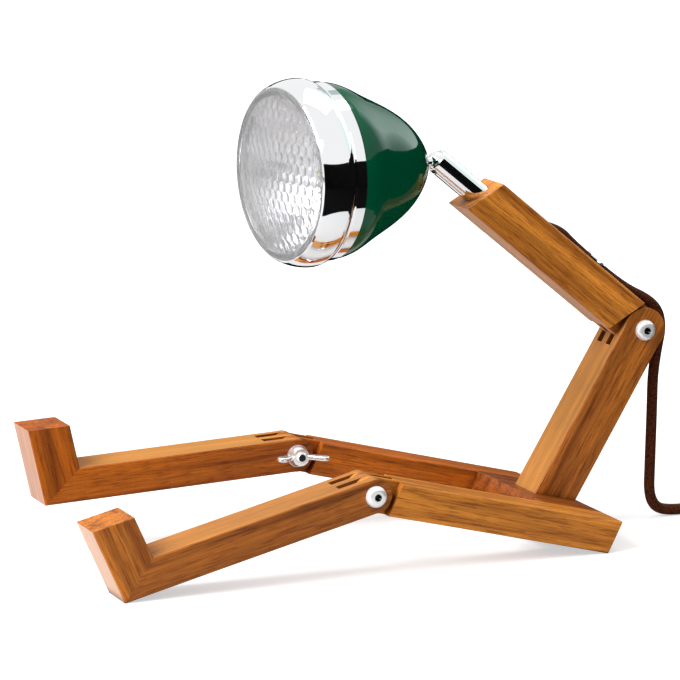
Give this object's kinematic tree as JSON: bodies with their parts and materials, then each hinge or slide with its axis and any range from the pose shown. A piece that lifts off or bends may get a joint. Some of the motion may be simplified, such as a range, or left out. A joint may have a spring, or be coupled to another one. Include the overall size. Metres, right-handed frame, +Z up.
{
  "type": "robot shaped desk lamp",
  "caption": "timber desk lamp shaped like a seated robot, with bolted knees and waist, a lamp head on a ball joint and a cord with a switch and plug",
  "frame": {"origin": "middle of the lamp's box without its cord, on the floor it sits on", "axes": "+Z up, -Y the way the robot faces, +X its right side"},
  "size_m": [0.1288, 0.5002, 0.2117],
  "materials": {
    "timber": "oiled hardwood",
    "bright_steel": "bright zinc",
    "chrome": "polished",
    "green_enamel": "gloss enamel",
    "lens_glass": "pressed clear",
    "gasket_rubber": "matt",
    "reflector": "polished",
    "heat_sink": "satin",
    "led": "phosphor",
    "black_plastic": "satin",
    "rocker": "gloss",
    "lead": "satin",
    "cord": "woven brown textile",
    "pin_metal": "nickel plated"
  },
  "bodies": {
    "seat_and_trunk": {"seat_block": "timber", "right_thigh": "timber", "left_thigh": "timber", "seat_dowels": "timber", "trunk_screw": "bright_steel", "trunk": "timber", "right_knee_bolt": "bright_steel", "right_knee_washer": "bright_steel", "left_knee_bolt": "bright_steel", "left_knee_washer": "bright_steel", "waist_bolt": "bright_steel", "waist_washer": "bright_steel", "cord_over_waist": "cord", "cord_drop": "cord", "cord_to_coil": "cord", "cord_coil": "cord", "cord_tail": "cord", "switch_base": "black_plastic", "switch_cover": "black_plastic", "switch_screws": "bright_steel", "switch_reliefs": "black_plastic", "plug_body": "black_plastic", "plug_pins": "pin_metal", "plug_relief": "black_plastic"},
    "right_lower_leg": {"right_shank": "timber", "right_foot": "timber", "right_foot_dowel": "timber"},
    "left_lower_leg": {"left_shank": "timber", "left_foot": "timber", "left_foot_dowel": "timber"},
    "right_knee_nut": {"right_knee_wing_nut": "bright_steel"},
    "left_knee_nut": {"left_knee_wing_nut": "bright_steel"},
    "waist_nut": {"waist_wing_nut": "bright_steel"},
    "arm": {"upper_arm": "timber", "arm_cord_anchor": "black_plastic", "arm_lead": "lead", "arm_clip": "bright_steel", "clip_screws": "bright_steel", "cord_on_arm": "cord"},
    "socket": {"socket_tube": "chrome"},
    "neck": {"ball_stud": "chrome", "lock_nut": "chrome"},
    "head": {"head_shell": "green_enamel", "head_rim": "chrome", "head_lens": "lens_glass", "lens_gasket": "gasket_rubber", "reflector": "reflector", "led_board": "heat_sink", "led_emitter": "led", "heat_sink": "heat_sink", "led_driver": "black_plastic", "head_lead": "lead"},
    "rocker": {"switch_rocker": "rocker"}
  },
  "joints": [
    {"name": "right_knee", "type": "hinge", "parent": "seat_and_trunk", "child": "right_lower_leg", "pos_m": [0.0445, -0.01653, 0.03579], "axis": [1, 0, 0], "range_deg": [-35, 60]},
    {"name": "left_knee", "type": "hinge", "parent": "seat_and_trunk", "child": "left_lower_leg", "pos_m": [-0.0445, -0.01653, 0.03579], "axis": [1, 0, 0], "range_deg": [-25, 70]},
    {"name": "waist", "type": "hinge", "parent": "seat_and_trunk", "child": "arm", "pos_m": [0, 0.13481, 0.08979], "axis": [1, 0, 0], "range_deg": [-120, 25], "deforming": ["cord_over_waist"]},
    {"name": "head_swivel", "type": "hinge", "parent": "arm", "child": "socket", "pos_m": [0, 0.03656, 0.17079], "axis": [0, -0.7716, 0.6361], "range_deg": [-160, 160]},
    {"name": "head_tilt", "type": "hinge", "parent": "socket", "child": "neck", "pos_m": [0, 0.03656, 0.17079], "axis": [0.9789, 0.1301, 0.1578], "range_deg": [-50, 45]},
    {"name": "head_spin", "type": "hinge", "parent": "neck", "child": "head", "pos_m": [0, 0.03656, 0.17079], "axis": [0.132, -0.9912, -0.0017], "range_deg": [-90, 90]},
    {"name": "right_knee_nut_turn", "type": "hinge", "parent": "seat_and_trunk", "child": "right_knee_nut", "pos_m": [0.0445, -0.01653, 0.03579], "axis": [1, 0, 0], "continuous": true},
    {"name": "left_knee_nut_turn", "type": "hinge", "parent": "seat_and_trunk", "child": "left_knee_nut", "pos_m": [-0.0445, -0.01653, 0.03579], "axis": [1, 0, 0], "continuous": true},
    {"name": "waist_nut_turn", "type": "hinge", "parent": "seat_and_trunk", "child": "waist_nut", "pos_m": [0, 0.13481, 0.08979], "axis": [1, 0, 0], "continuous": true},
    {"name": "rocker_press", "type": "hinge", "parent": "seat_and_trunk", "child": "rocker", "pos_m": [0, 0.2352, 0.011], "axis": [1, 0, 0], "range_deg": [0, 16]}
  ]
}
